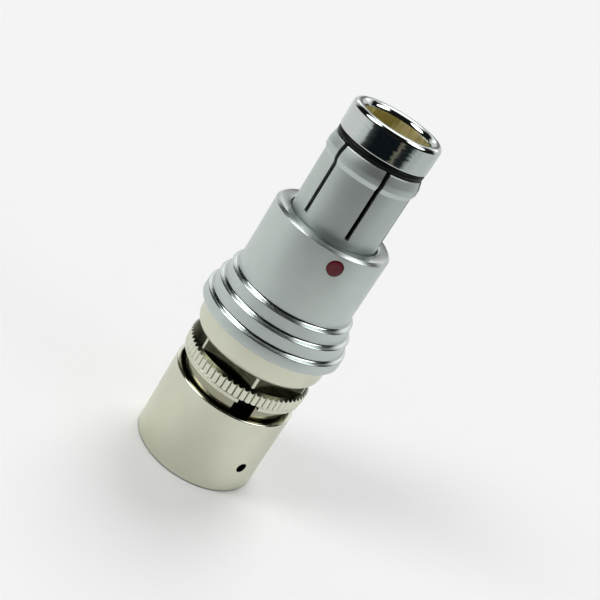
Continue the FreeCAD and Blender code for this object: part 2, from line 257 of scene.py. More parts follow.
# Clamp body
knurl_radius = 6.45
knurl_depth = 0.2
knurl_count = 64
knurl_bottom = 10.68
knurl_chamfer_width = 0.27
knurl_chamfer_length = 0.35
# Depth above the teeth's roots over which painted shade darkens the knurl
knurl_painted_shade_depth = 0.09
knurl_root_gap = 0.03
knurl_underside = 0.01
knurl_stock = 0.1
knurl_cut_outside = 0.5
knurl_cut_above = 0.3
tooth_points = 10
lip_radius = 6.38
lip_bottom = 10.18
lip_edge_radius = 0.1
tail_radius = 5.63
gland_chamber_radius = 4.6
thread_seat_radius = 5.02
tail_slot_width = 2.1
tail_slot_turn = 269.8
tail_slot_count = 3
tail_slot_cut_length = 4.0
tail_slot_overcut = 1.0

# Rear sleeve
back_nut_radius = 6.4
foot_shade_height = 0.12
mouth_radius = 5.95
mouth_depth = 0.8
mouth_taper = 0.3
tail_seat_radius = 5.65
outlet_radius = 3.25
rear_wall = 4.0
boss_top = 4.7
boss_wall = 1.15
spanner_hole_radius = 0.55
spanner_hole_height = 3.2
spanner_hole_depth = 1.8
spanner_hole_turn = 300.0


def linear(hex_colour):
    """sRGB hex value as a linear colour with alpha 1."""
    channels = [int(hex_colour[i:i + 2], 16) / 255 for i in (1, 3, 5)]
    return tuple(c / 12.92 if c <= 0.04045 else ((c + 0.055) / 1.055) ** 2.4 for c in channels) + (1.0,)


def direction(azimuth, elevation):
    """Unit vector at an azimuth from +X and an elevation above the floor, both in degrees."""
    a = math.radians(azimuth)
    e = math.radians(elevation)
    return Vector((math.cos(a) * math.cos(e), math.sin(a) * math.cos(e), math.sin(e)))


def add_node(tree, kind, settings=None, inputs=None):
    """Adds one node, sets its properties, and sets or links its inputs by name or number."""
    node = tree.nodes.new(kind)
    for name, value in (settings or {}).items():
        setattr(node, name, value)
    for name, value in (inputs or {}).items():
        if isinstance(value, bpy.types.NodeSocket):
            tree.links.new(value, node.inputs[name])
        else:
            node.inputs[name].default_value = value
    return node


def new_material(name, colour, metallic, roughness):
    """Material with a plain shader, and the node tree and shader to work on."""
    material = bpy.data.materials.new(name)
    material.use_nodes = True
    tree = material.node_tree
    shader = tree.nodes["Principled BSDF"]
    shader.inputs["Base Color"].default_value = linear(colour)
    shader.inputs["Metallic"].default_value = metallic
    shader.inputs["Roughness"].default_value = roughness
    return material, tree, shader


def varied_colour(tree, shader, factor, dark, light):
    """Runs the base colour from a dark to a light value by a factor."""
    mix = add_node(tree, "ShaderNodeMix", {"data_type": "RGBA"},
                   {"Factor": factor, 6: linear(dark), 7: linear(light)})
    tree.links.new(mix.outputs[2], shader.inputs["Base Color"])


def varied_roughness(tree, shader, factor, low, high):
    """Runs the roughness from a low to a high value by a factor."""
    spread = add_node(tree, "ShaderNodeMapRange", None, {"Value": factor, "To Min": low, "To Max": high})
    tree.links.new(spread.outputs[0], shader.inputs["Roughness"])


def grain(tree, size, detail=2.0, stretch=(1.0, 1.0, 1.0)):
    """Noise whose grains measure size millimetres, on the piece's own coordinates."""
    coordinates = add_node(tree, "ShaderNodeTexCoord")
    scale = [1 / (size * mm) * s for s in stretch]
    placed = add_node(tree, "ShaderNodeMapping", None,
                      {"Vector": coordinates.outputs["Object"], "Scale": scale})
    noise = add_node(tree, "ShaderNodeTexNoise", None,
                     {"Vector": placed.outputs[0], "Scale": 1.0, "Detail": detail, "Roughness": 0.5})
    return noise.outputs[0]


def radius_and_height(tree):
    """Distance from the axis and height of the shaded point, in metres."""
    coordinates = add_node(tree, "ShaderNodeTexCoord")
    parts = add_node(tree, "ShaderNodeSeparateXYZ", None, {0: coordinates.outputs["Object"]})
    flat = add_node(tree, "ShaderNodeCombineXYZ", None, {"X": parts.outputs["X"], "Y": parts.outputs["Y"]})
    radius = add_node(tree, "ShaderNodeVectorMath", {"operation": "LENGTH"}, {0: flat.outputs[0]})
    return radius.outputs["Value"], parts.outputs["Z"]


def turning_lines(tree, pitch):
    """Lathe lines of the given pitch: rings on faces square to the axis, hoops on its walls."""
    radius, height = radius_and_height(tree)
    feed = add_node(tree, "ShaderNodeCombineXYZ", None, {"X": radius, "Z": height})
    noise = add_node(tree, "ShaderNodeTexNoise", None,
                     {"Vector": feed.outputs[0], "Scale": 1 / (pitch * mm), "Detail": 2.0, "Roughness": 0.6})
    return noise.outputs[0]


def swayed_normal(tree, factor, amount):
    """Normal turned a little round the axis, as the tool's chatter leaves it from line to line."""
    surface = add_node(tree, "ShaderNodeNewGeometry")
    sideways = add_node(tree, "ShaderNodeVectorMath", {"operation": "CROSS_PRODUCT"},
                        {0: (0, 0, 1), 1: surface.outputs["Normal"]})
    sway = add_node(tree, "ShaderNodeMapRange", None, {"Value": factor, "To Min": -amount, "To Max": amount})
    push = add_node(tree, "ShaderNodeVectorMath", {"operation": "SCALE"},
                    {0: sideways.outputs[0], "Scale": sway.outputs[0]})
    pushed = add_node(tree, "ShaderNodeVectorMath", {"operation": "ADD"},
                      {0: surface.outputs["Normal"], 1: push.outputs[0]})
    unit = add_node(tree, "ShaderNodeVectorMath", {"operation": "NORMALIZE"}, {0: pushed.outputs[0]})
    return unit.outputs[0]


def raise_surface(tree, shader, heights, normal=None):
    """Chains bumps of (factor, height in millimetres) onto the shader's normal."""
    for factor, height in heights:
        inputs = {"Height": factor, "Distance": height * mm, "Strength": 1.0}
        if normal:
            inputs["Normal"] = normal
        normal = add_node(tree, "ShaderNodeBump", None, inputs).outputs[0]
    tree.links.new(normal, shader.inputs["Normal"])


def satin_chrome(name, smoothest, roughest):
    """Chrome plate over bead-blasted or tumbled metal: an even, soft grey with a very fine grain."""
    material, tree, shader = new_material(name, "#c2cbc6", 1.0, (smoothest + roughest) / 2)
    fine = grain(tree, 0.09)
    cloud = grain(tree, 2.2)
    varied_colour(tree, shader, cloud, "#bdc6c2", "#c8d0cc")
    varied_roughness(tree, shader, fine, smoothest, roughest)
    raise_surface(tree, shader, [(fine, 0.0016)])
    return material


def turned_chrome(name, smoothest, roughest):
    """Chrome plate over fine-turned edges and burnished steps: half mirror, with soft bright lines."""
    material, tree, shader = new_material(name, "#bcc3c2", 1.0, (smoothest + roughest) / 2)
    lines = turning_lines(tree, 0.06)
    varied_roughness(tree, shader, lines, smoothest, roughest)
    raise_surface(tree, shader, [(lines, 0.0008)])
    return material


def polished_chrome():
    """Bright chrome plate over turned brass: a mirror whose reflections fray on faint lathe lines."""
    material, tree, shader = new_material("polished_chrome_plate", "#c3c9c6", 1.0, 0.06)
    lines = turning_lines(tree, 0.12)
    chatter = grain(tree, 1.0, stretch=(1, 1, 9))
    varied_roughness(tree, shader, chatter, 0.04, 0.10)
    raise_surface(tree, shader, [(lines, 0.0006)], swayed_normal(tree, chatter, 0.12))
    return material


def satin_nickel():
    """Nickel plate over fine-turned brass: warm, softly brushed round the axis."""
    material, tree, shader = new_material("satin_nickel_plate", "#d2d3c1", 1.0, 0.33)
    lines = turning_lines(tree, 0.07)
    cloud = grain(tree, 2.5)
    varied_colour(tree, shader, cloud, "#cdceba", "#d7d8c7")
    varied_roughness(tree, shader, lines, 0.29, 0.37)
    raise_surface(tree, shader, [(lines, 0.0010)])
    return material


def knurled_nickel():
    """Nickel plate over rolled teeth: crests burnished by the roll, valleys painted dark as the shade
    between the teeth.
    """
    material, tree, shader = new_material("knurled_nickel_plate", "#d4d5c4", 1.0, 0.30)
    radius = radius_and_height(tree)[0]
    # Painted shade: the colour darkens towards the teeth's roots
    root = (knurl_radius - knurl_depth) * mm
    depth = add_node(tree, "ShaderNodeMapRange", {"interpolation_type": "SMOOTHSTEP"},
                     {"Value": radius, "From Min": root, "From Max": root + knurl_painted_shade_depth * mm})
    varied_colour(tree, shader, depth.outputs[0], "#4c4938", "#d8d9c8")
    marks = grain(tree, 0.15, stretch=(1, 1, 3))
    varied_roughness(tree, shader, marks, 0.24, 0.36)
    raise_surface(tree, shader, [(marks, 0.0008)])
    return material


def bright_nickel():
    """Nickel plate over milled or chamfered brass: smooth faces that mirror what stands round them."""
    material, tree, shader = new_material("bright_nickel_plate", "#cfcfc0", 1.0, 0.10)
    marks = grain(tree, 0.12, stretch=(1, 1, 3))
    varied_roughness(tree, shader, marks, 0.07, 0.15)
    raise_surface(tree, shader, [(marks, 0.0006)])
    return material


def dull_nickel():
    """Nickel plate on plain-turned walls between other pieces, painted a darker olive grey as the shade
    there, with blurred reflections.
    """
    material, tree, shader = new_material("nickel_plate_painted_darker_as_shade", "#9c9a86", 1.0, 0.17)
    lines = turning_lines(tree, 0.10)
    varied_roughness(tree, shader, lines, 0.12, 0.24)
    raise_surface(tree, shader, [(lines, 0.0012)])
    return material


def painted_shade_nickel():
    """Nickel plate in recesses and holes, painted near black as the shade there: smooth, in a randomly
    varied dark tone.
    """
    material, tree, shader = new_material("nickel_with_painted_recess_shade", "#3a372c", 1.0, 0.20)
    cloud = grain(tree, 0.9, stretch=(1, 1, 3))
    varied_colour(tree, shader, cloud, "#0c0d09", "#5d5d49")
    varied_roughness(tree, shader, cloud, 0.14, 0.28)
    return material


def painted_gold_reflection_brass():
    """Bored brass wall, coloured olive-yellow as a painted reflection of the gold contacts deeper in, with
    soft bore marks, pale where the noise is low.
    """
    material, tree, shader = new_material("bore_brass_with_painted_gold_reflection", "#d6cc98", 0.9, 0.42)
    marks = grain(tree, 0.9, stretch=(1, 1, 0.2))
    bands = add_node(tree, "ShaderNodeMapRange", {"interpolation_type": "SMOOTHSTEP"},
                     {"Value": marks, "From Min": 0.62, "From Max": 0.36})
    varied_colour(tree, shader, bands.outputs[0], "#c4b976", "#fff8cc")
    varied_roughness(tree, shader, marks, 0.34, 0.50)
    raise_surface(tree, shader, [(marks, 0.002)])
    return material


def black_rubber():
    """Moulded nitrile rubber: black, slightly waxy, with a faint flow texture."""
    material, tree, shader = new_material("moulded_nitrile_rubber", "#030706", 0.0, 0.42)
    shader.inputs["Specular IOR Level"].default_value = 0.15
    skin = grain(tree, 0.15)
    varied_roughness(tree, shader, skin, 0.34, 0.52)
    raise_surface(tree, shader, [(skin, 0.002)])
    return material


def red_enamel():
    """Glossy oven-cured enamel filled into the pocket: deep red, smooth as glass."""
    material, tree, shader = new_material("glossy_red_enamel", "#54121c", 0.0, 0.16)
    shader.inputs["Specular IOR Level"].default_value = 0.3
    cloud = grain(tree, 0.5)
    varied_colour(tree, shader, cloud, "#4c0f18", "#5c1520")
    raise_surface(tree, shader, [(cloud, 0.002)])
    return material


def spring_steel():
    """Drawn stainless spring steel: grey, bright, with fine draw lines."""
    material, tree, shader = new_material("drawn_spring_steel", "#b4b2aa", 1.0, 0.28)
    lines = turning_lines(tree, 0.06)
    varied_roughness(tree, shader, lines, 0.22, 0.36)
    raise_surface(tree, shader, [(lines, 0.0008)])
    return material


def gold_plate():
    """Gold plate over turned brass contacts: yellow, smooth, with light lathe lines."""
    material, tree, shader = new_material("gold_plated_brass", "#d8b25c", 1.0, 0.18)
    lines = grain(tree, 0.08, stretch=(0.2, 0.2, 1))
    varied_roughness(tree, shader, lines, 0.14, 0.26)
    raise_surface(tree, shader, [(lines, 0.0006)])
    return material


def tan_insulator():
    """Moulded high-temperature plastic: opaque tan, matt, with a soft mottled skin."""
    material, tree, shader = new_material("moulded_tan_insulator", "#a08a62", 0.0, 0.55)
    skin = grain(tree, 0.2)
    cloud = grain(tree, 1.5)
    varied_colour(tree, shader, cloud, "#957f58", "#a9936b")
    varied_roughness(tree, shader, skin, 0.46, 0.62)
    raise_surface(tree, shader, [(skin, 0.003)])
    return material


materials = {
    "polished_chrome": polished_chrome(),
    "satin_chrome": satin_chrome("satin_chrome_plate", 0.34, 0.42),
    "tumbled_chrome": satin_chrome("tumbled_chrome_plate", 0.44, 0.52),
    "brushed_chrome": turned_chrome("fine_turned_chrome_edge", 0.20, 0.32),
    "burnished_chrome": turned_chrome("burnished_chrome_step", 0.12, 0.20),
    "satin_nickel": satin_nickel(),
    "knurled_nickel": knurled_nickel(),
    "bright_nickel": bright_nickel(),
    "dull_nickel": dull_nickel(),
    "painted_shade_nickel": painted_shade_nickel(),
    "painted_gold_reflection_brass": painted_gold_reflection_brass(),
    "black_rubber": black_rubber(),
    "red_enamel": red_enamel(),
    "spring_steel": spring_steel(),
    "gold_plate": gold_plate(),
    "tan_insulator": tan_insulator(),
}


def outline(corners):
    """Closed outline in the plane y = 0 of (radius, height, rounding) corners, roundings as arcs."""
    full = [(tuple(corner) + (0,))[:3] for corner in corners]
    points = []
    for index, (radius, height, rounding) in enumerate(full):
        here = Vector((radius, 0, height))
        if rounding == 0:
            points.append(here)
            continue
        before = Vector((full[index - 1][0], 0, full[index - 1][1]))
        after = Vector((full[(index + 1) % len(full)][0], 0, full[(index + 1) % len(full)][1]))
        arrive = (here - before).normalized()
        leave = (after - here).normalized()
        bend = arrive.angle(leave)
        centre = here + (leave - arrive).normalized() * rounding / math.cos(bend / 2)
        spoke = here - arrive * rounding * math.tan(bend / 2) - centre
        steps = max(2, round(math.degrees(bend) / arc_step))
        for step in range(steps + 1):
            points.append(centre + Matrix.Rotation(bend * step / steps, 3, arrive.cross(leave)) @ spoke)
    bm = bmesh.new()
    verts = [bm.verts.new(point * mm) for point in points]
    for index in range(len(verts)):
        bm.edges.new((verts[index - 1], verts[index]))
    return bm


def spin_round(bm, steps):
    """Sweeps the edges all the way round the axis, closes the poles and turns the faces outwards."""
    bmesh.ops.spin(bm, geom=bm.verts[:] + bm.edges[:], cent=(0, 0, 0), axis=(0, 0, 1),
                   angle=2 * math.pi, steps=steps, use_merge=True)
    bmesh.ops.remove_doubles(bm, verts=bm.verts, dist=turned_merge * mm)
    bmesh.ops.recalc_face_normals(bm, faces=bm.faces)


def turned(corners, steps=turning_steps):
    """Closed shape turned about the axis."""
    bm = outline(corners)
    spin_round(bm, steps)
    return bm


def grown_verts(grown):
    """Vertices that an extrusion has made."""
    return [item for item in grown["geom"] if isinstance(item, bmesh.types.BMVert)]


def radial_cylinder(bm, radius, start, end, height, angle):
    """Adds a round bar that lies along the plug's radius at one angle."""
    turn = Matrix.Rotation(math.radians(angle), 4, "Z")
    middle = Matrix.Translation(Vector(((start + end) / 2, 0, height)) * mm)
    lying = Matrix.Rotation(math.radians(90), 4, "Y")
    bmesh.ops.create_cone(bm, cap_ends=True, segments=small_circle_steps, radius1=radius * mm,
                          radius2=radius * mm, depth=(end - start) * mm, matrix=turn @ middle @ lying)


def combine(bm, tool, operation):
    """Exact boolean of two closed shapes, which both end here."""
    objects = []
    for shape in (bm, tool):
        mesh = bpy.data.meshes.new("shape")
        shape.to_mesh(mesh)
        shape.free()
        holder = bpy.data.objects.new("shape", mesh)
        bpy.context.scene.collection.objects.link(holder)
        objects.append(holder)
    modifier = objects[0].modifiers.new("cut", "BOOLEAN")
    modifier.operation = operation
    modifier.solver = "EXACT"
    modifier.object = objects[1]
    depsgraph = bpy.context.evaluated_depsgraph_get()
    result = bmesh.new()
    result.from_mesh(objects[0].evaluated_get(depsgraph).to_mesh())
    for holder in objects:
        mesh = holder.data
        bpy.data.objects.remove(holder)
        bpy.data.meshes.remove(mesh)
    return result


def finish_piece(bm, name, node, finishes, choose=None):
    """Makes the piece, gives each face its finish, rides it on its body and lets it replace its node."""
    mesh = bpy.data.meshes.new(name)
    for finish in finishes:
        mesh.materials.append(materials[finish])
    for face in bm.faces:
        face.material_index = finishes.index(choose(face)) if choose else 0
        face.smooth = True
    bm.to_mesh(mesh)
    bm.free()
    mesh.set_sharp_from_angle(angle=math.radians(soft_edge_angle))
    piece = bpy.data.objects.new(name, mesh)
    bpy.context.scene.collection.objects.link(piece)
    weights = piece.modifiers.new("even_shading", "WEIGHTED_NORMAL")
    weights.keep_sharp = True
    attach(piece, nodes[node]["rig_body"])
    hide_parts(node)
    return piece


def face_radius(face):
    """Distance of a face's middle from the plug's axis in millimetres."""
    middle = face.calc_center_median() / mm
    return math.hypot(middle.x, middle.y)


def face_height(face):
    """Height of a face's middle in millimetres."""
    return face.calc_center_median().z / mm


def tilt(face):
    """Degrees that a face looks up, 0 on a wall, or down, where it is negative."""
    return math.degrees(math.asin(max(-1.0, min(1.0, face.normal.z))))


def chromed_front_shell():
    """Nose ring with a rounded lip and a deep bore, seal groove, finger support land and inner tube."""
    ring_bottom = finger_top + seal_gap
    groove_radius = guide_radius - stop_groove_depth
    relief_radius = guide_radius - finger_relief
    relief_bottom = sleeve_top + slot_start + finger_relief
    rib_bottom = finger_top - tip_rib_length
    insert_step = insert_bottom + insert_flange_length
    bm = turned([
        (insert_bore_radius, shell_bottom),
        (guide_radius, shell_bottom),
        (guide_radius, stop_groove_bottom),
        (groove_radius, stop_groove_bottom),
        (groove_radius, stop_groove_bottom + stop_groove_width),
        (guide_radius, stop_groove_bottom + stop_groove_width),
        (guide_radius, relief_bottom - finger_relief),
        (relief_radius, relief_bottom),
        (relief_radius, rib_bottom - finger_relief),
        (guide_radius, rib_bottom),
        (guide_radius, finger_top),
        (seal_groove_radius, finger_top),
        (seal_groove_radius, ring_bottom),
        (nose_radius, ring_bottom, nose_rear_rounding),
        (nose_radius, nose_top, nose_outer_rounding),
        (nose_bore_radius, nose_top, nose_inner_rounding),
        (nose_bore_radius, insert_step),
        (insert_bore_radius, insert_step),
    ])

    def choose(face):
        # The bore's wall takes the olive-yellow painted reflection of the gold contacts
        if face_radius(face) < nose_bore_radius + near and abs(tilt(face)) < wall_tilt:
            return "painted_gold_reflection_brass"
        # Below the nose ring, the seal groove, inner tube and insert bore are painted near black as shade
        return "polished_chrome" if face_height(face) > ring_bottom + very_near else "painted_shade_nickel"

    finish_piece(bm, "chromed_front_shell", "front_shell",
                 ["polished_chrome", "painted_gold_reflection_brass", "painted_shade_nickel"], choose)


def moulded_nose_seal():
    """Sealing ring of round section in the groove behind the nose ring."""
    low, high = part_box("nose_seal")
    section_radius = (high[2] - low[2]) / 2
    bm = bmesh.new()
    middle = (high[0] - section_radius, 0, (low[2] + high[2]) / 2)
    upright = Matrix.Rotation(math.radians(90), 4, "X")
    bmesh.ops.create_circle(bm, segments=section_steps, radius=section_radius,
                            matrix=Matrix.Translation(middle) @ upright)
    spin_round(bm, turning_steps)
    finish_piece(bm, "moulded_nose_seal", "nose_seal", ["black_rubber"])


def slot_cutter(bm, angle):
    """One slot between fingers: parallel, then opening a little over the latch band."""
    slot_bottom = sleeve_top + slot_start
    flare_bottom = finger_top - band_slope_front - band_crest_length
    inside = finger_inner_radius - 2 * slot_overcut
    outside = band_radius + slot_overcut
    middle = Vector(((inside + outside) / 2, 0, (slot_bottom + flare_bottom) / 2)) * mm
    size = Vector((outside - inside, slot_width, flare_bottom - slot_bottom)) * mm
    made = bmesh.ops.create_cube(bm, size=1, matrix=Matrix.LocRotScale(middle, None, size))
    lid = max({face for vert in made["verts"] for face in vert.link_faces}, key=face_height)
    grown = bmesh.ops.extrude_face_region(bm, geom=[lid])
    bmesh.ops.delete(bm, geom=[lid], context="FACES_ONLY")
    upper = grown_verts(grown)
    bmesh.ops.translate(bm, verts=upper, vec=(0, 0, (finger_top - flare_bottom + slot_overcut) * mm))
    bmesh.ops.scale(bm, verts=upper, vec=(1, slot_mouth_width / slot_width, 1))
    turn = Matrix.Rotation(math.radians(angle), 3, "Z")
    bmesh.ops.rotate(bm, verts=made["verts"] + upper, cent=(0, 0, 0), matrix=turn)


def slotted_latch_sleeve():
    """Sprung latch: a tube slotted into six fingers that carry the latch band and an inner tip rib."""
    thread_top = sleeve_top - latch_thread_recess
    crest_top = finger_top - tip_chamfer - band_slope_front
    crest_bottom = crest_top - band_crest_length
    rib_bottom = finger_top - tip_rib_length
    slot_bottom = sleeve_top + slot_start
    bm = turned([
        (latch_bore_radius, latch_bottom),
        (latch_thread_radius, latch_bottom),
        (latch_thread_radius, thread_top),
        (latch_radius, thread_top + edge_radius),
        (latch_radius, crest_bottom - band_slope_rear, edge_radius),
        (band_radius, crest_bottom, edge_radius),
        (band_radius, crest_top, edge_radius),
        (latch_radius, finger_top - tip_chamfer, tip_edge_radius),
        (latch_radius - tip_chamfer, finger_top, tip_edge_radius),
        (finger_inner_radius - tip_rib_height, finger_top),
        (finger_inner_radius - tip_rib_height, rib_bottom),
        (finger_inner_radius, rib_bottom - tip_rib_height),
        (finger_inner_radius, slot_bottom),
        (latch_bore_radius, slot_bottom - tip_rib_height),
    ])
    slots = bmesh.new()
    for index in range(finger_count):
        slot_cutter(slots, front_angle + index * 360 / finger_count)
    bmesh.ops.recalc_face_normals(slots, faces=slots.faces)
    bm = combine(bm, slots, "DIFFERENCE")
    finish_piece(bm, "slotted_latch_sleeve", "latch_sleeve", ["tumbled_chrome"])


def satin_release_sleeve():
    """Outer sleeve with three grip steps, a polished front edge and the pocket of the index mark."""
    grip_step = (skirt_radius - sleeve_radius) / grip_step_count
    hollow_radius = grip_step - grip_edge_radius - grip_shelf_width
    outside = [(sleeve_radius - sleeve_chamfer_width, sleeve_top, sharp_edge_radius),
               (sleeve_radius, sleeve_top - sleeve_chamfer_height, sharp_edge_radius)]
    for step in range(grip_step_count):
        shelf_height = sleeve_bottom + grip_rear_land_length + (grip_step_count - 1 - step) * grip_pitch
        radius = sleeve_radius + step * grip_step
        outside.append((radius, shelf_height, hollow_radius))
        outside.append((radius + grip_step, shelf_height, grip_edge_radius))
    outside[-1] = (skirt_radius - skirt_taper, shelf_height, grip_edge_radius)
    outside.append((skirt_radius, sleeve_bottom, edge_radius))
    bm = turned([
        *reversed(outside),
        (sleeve_mouth_radius, sleeve_top, edge_radius),
        (sleeve_mouth_radius, flange_top),
        (sleeve_flange_radius, flange_top),
        (sleeve_flange_radius, flange_bottom),
        (spring_room_radius, flange_bottom),
        (spring_room_radius, skirt_room_top),
        (skirt_bore_radius, skirt_room_top),
        (skirt_bore_radius, sleeve_bottom),
    ])
    pocket = bmesh.new()
    radial_cylinder(pocket, dot_radius + dot_gap, sleeve_radius - dot_pocket_depth, skirt_radius,
                    dot_height, front_angle)
    bm = combine(bm, pocket, "DIFFERENCE")

    def choose(face):
        if abs(tilt(face)) < wall_tilt:
            return "satin_chrome"
        if tilt(face) > 0 and face_height(face) < sleeve_top - front_edge_length:
            return "burnished_chrome"
        return "polished_chrome" if tilt(face) > end_tilt else "brushed_chrome"

    finish_piece(bm, "satin_release_sleeve", "release_sleeve",
                 ["satin_chrome", "polished_chrome", "brushed_chrome", "burnished_chrome"], choose)


def enamel_index_dot():
    """Drop of enamel in its pocket, domed to the sleeve's roundness with a soft rim."""
    depth = dot_pocket_depth
    rings = [(dot_radius * share, 0) for share in dot_rings]
    profile = [(0, -depth), (dot_radius, -depth), (dot_radius, -dot_rim),
               (dot_radius - dot_rim_chamfer, -dot_rim_chamfer), (dot_radius - dot_rim, 0), *rings, (0, 0)]
    bm = bmesh.new()
    verts = [bm.verts.new((radius * mm, 0, height * mm)) for radius, height in profile]
    for first, second in zip(verts, verts[1:]):
        bm.edges.new((first, second))
    spin_round(bm, small_circle_steps)
    bmesh.ops.rotate(bm, verts=bm.verts, cent=(0, 0, 0), matrix=Matrix.Rotation(math.radians(90), 3, "X"))
    for vert in bm.verts:
        sagitta = sleeve_radius - math.sqrt(sleeve_radius ** 2 - (vert.co.x / mm) ** 2)
        vert.co.y = vert.co.y + (sagitta - sleeve_radius + dot_proud) * mm
    bmesh.ops.translate(bm, verts=bm.verts, vec=(0, 0, dot_height * mm))
    finish_piece(bm, "enamel_index_dot", "index_dot", ["red_enamel"])


def hexagon_prism(across_flats, low, high, angle, strip):
    """Hexagonal prism whose upright corners are cut back to narrow strips."""
    bm = bmesh.new()
    corner_radius = across_flats / 2 / math.cos(math.pi / 6)
    bmesh.ops.create_circle(
        bm, cap_ends=True, segments=6, radius=corner_radius * mm,
        matrix=Matrix.Translation((0, 0, low * mm)) @ Matrix.Rotation(math.radians(angle), 4, "Z"))
    grown = bmesh.ops.extrude_face_region(bm, geom=bm.faces[:], use_keep_orig=True)
    upper = grown_verts(grown)
    bmesh.ops.translate(bm, verts=upper, vec=(0, 0, (high - low) * mm))
    bmesh.ops.recalc_face_normals(bm, faces=bm.faces)
    upright = [e for e in bm.edges if abs(e.verts[0].co.z - e.verts[1].co.z) > (high - low) * mm / 2]
    setback = strip / 2 / math.sin(math.radians(60))
    bmesh.ops.bevel(bm, geom=upright, offset=setback * mm, offset_type="OFFSET",
                    affect="EDGES", segments=2, profile=0.5, material=-1)
    return bm


def plated_rear_body():
    """Collar with a rounded lower edge, hexagonal neck, hub for the spring and threaded tail."""
    bm = turned([
        (cable_bore_radius, thread_bottom),
        (tail_thread_radius, thread_bottom),
        (tail_thread_radius, collar_bottom),
        (collar_radius, collar_bottom, collar_edge_radius),
        (collar_radius, collar_top, edge_radius),
        (hub_radius, collar_top),
        (hub_radius, spring_seat),
        (shell_seat_radius, spring_seat),
        (shell_seat_radius, body_seal_groove_top),
        (body_seal_groove_radius, body_seal_groove_top),
        (body_seal_groove_radius, body_seal_groove_bottom),
        (shell_seat_radius, body_seal_groove_bottom),
        (shell_seat_radius, shell_bottom),
        (cable_bore_radius, shell_bottom),
    ])
    neck = hexagon_prism(neck_across_flats, neck_bottom, collar_bottom + collar_edge_radius / 2,
                         front_angle + neck_turn - 90, neck_corner_strip)
    core = bmesh.new()
    bmesh.ops.create_cone(core, cap_ends=True, segments=circle_steps, radius1=neck_core_radius * mm,
                          radius2=neck_core_radius * mm, depth=neck_core_length * mm,
                          matrix=Matrix.Translation((0, 0, collar_bottom * mm)))
    neck = combine(neck, core, "DIFFERENCE")
    bm = combine(bm, neck, "UNION")

    def choose(face):
        on_neck = neck_bottom < face_height(face) < collar_bottom + collar_edge_radius
        facing = math.degrees(math.atan2(face.normal.y, face.normal.x)) - front_angle - neck_turn
        on_flat = abs(tilt(face)) < angle_slack and abs(facing % 60 - 30) < angle_slack
        # The neck's flats are painted near black as the shade under the collar
        return "painted_shade_nickel" if on_neck and on_flat else "satin_nickel"

    finish_piece(bm, "plated_rear_body", "rear_body", ["satin_nickel", "painted_shade_nickel"], choose)


def knurl_cutter(cut_bottom):
    """Ring of the gaps between the rounded teeth, from the teeth's outline out past their crests."""
    count = knurl_count * tooth_points
    outer_radius = knurl_radius + knurl_cut_outside
    half_pitch = math.pi / knurl_count * knurl_radius
    tooth_radius = (half_pitch ** 2 + knurl_depth ** 2) / (2 * knurl_depth)
    bm = bmesh.new()
    inner = bmesh.ops.create_circle(bm, segments=count, radius=knurl_radius * mm)["verts"]
    bmesh.ops.create_circle(bm, segments=count, radius=outer_radius * mm)
    for index, vert in enumerate(inner):
        across = ((index % tooth_points) / tooth_points * 2 - 1) * half_pitch
        height = math.sqrt(tooth_radius ** 2 - across ** 2) - (tooth_radius - knurl_depth)
        radius = knurl_radius - knurl_depth + height
        vert.co = vert.co.normalized() * radius * mm
    bmesh.ops.bridge_loops(bm, edges=bm.edges[:])
    grown = bmesh.ops.extrude_face_region(bm, geom=bm.faces[:], use_keep_orig=True)
    upper = grown_verts(grown)
    bmesh.ops.translate(bm, verts=bm.verts, vec=(0, 0, cut_bottom * mm))
    bmesh.ops.translate(bm, verts=upper, vec=(0, 0, (neck_bottom - cut_bottom + knurl_cut_above) * mm))
    bmesh.ops.recalc_face_normals(bm, faces=bm.faces)
    return bm


